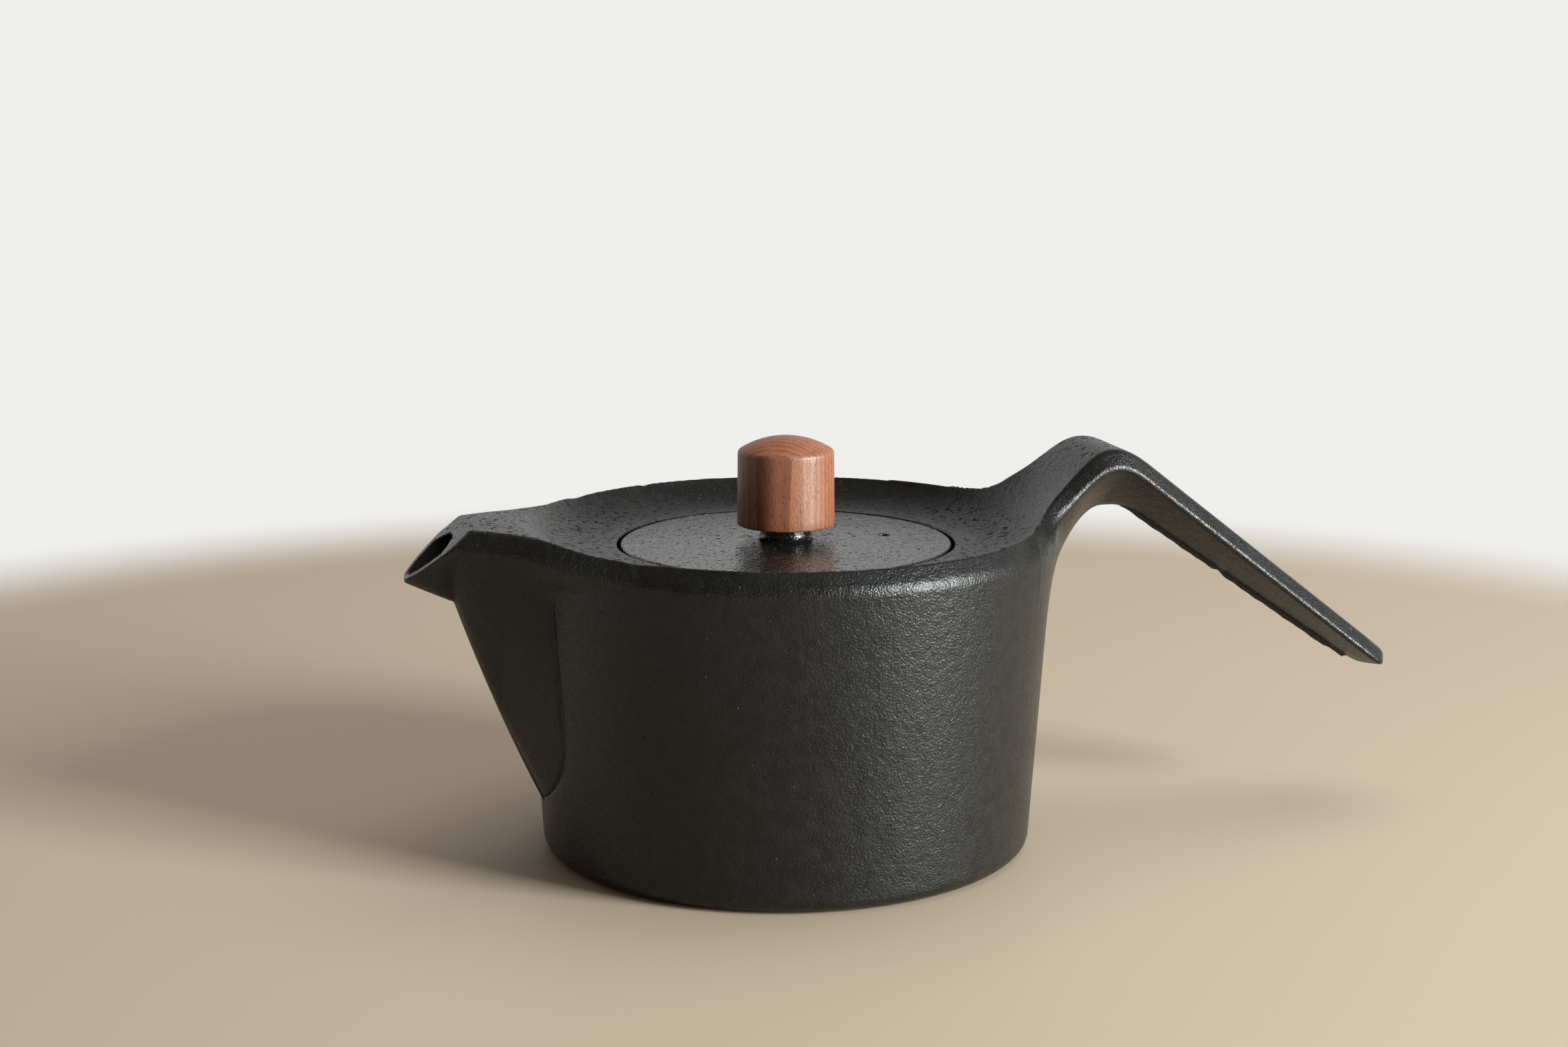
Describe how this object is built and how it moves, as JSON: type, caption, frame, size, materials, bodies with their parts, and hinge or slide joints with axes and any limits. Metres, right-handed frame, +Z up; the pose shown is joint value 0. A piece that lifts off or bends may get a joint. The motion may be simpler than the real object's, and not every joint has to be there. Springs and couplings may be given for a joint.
{
  "type": "cast iron teapot",
  "caption": "Cast iron teapot with a keeled pouring spout, an arched side handle cast in one with the bowl, a flush lid with a wooden knob, and a lift-out mesh tea strainer",
  "frame": {"origin": "centre of the flat base, where the pot stands", "axes": "+X from the bowl's axis towards the handle, -X towards the spout, +Z up along the bowl's axis"},
  "size_m": [0.2513, 0.1304, 0.101],
  "materials": {
    "iron": "matte charcoal black coating over a fine sand-cast grain",
    "knob_wood": "satin oiled reddish brown hardwood, grain along the axis",
    "insert_brass": "plain turned brass",
    "stainless": "pressed stainless steel, satin",
    "strainer_mesh": "fine woven stainless mesh"
  },
  "bodies": {
    "pot": {"pot_casting": "iron"},
    "strainer": {"strainer_rim": "stainless", "strainer_wall": "strainer_mesh", "strainer_floor": "strainer_mesh", "strainer_hem": "stainless"},
    "lid": {"lid_plate": "iron", "lid_knob": "knob_wood", "knob_insert": "insert_brass", "knob_screw": "stainless", "screw_washer": "stainless"}
  },
  "joints": [
    {"name": "strainer_lift", "type": "slide", "parent": "pot", "child": "strainer", "axis": [0, 0, 1], "range_m": [0, 0.07]},
    {"name": "lid_lift", "type": "slide", "parent": "strainer", "child": "lid", "axis": [0, 0, 1], "range_m": [0, 0.05]}
  ]
}
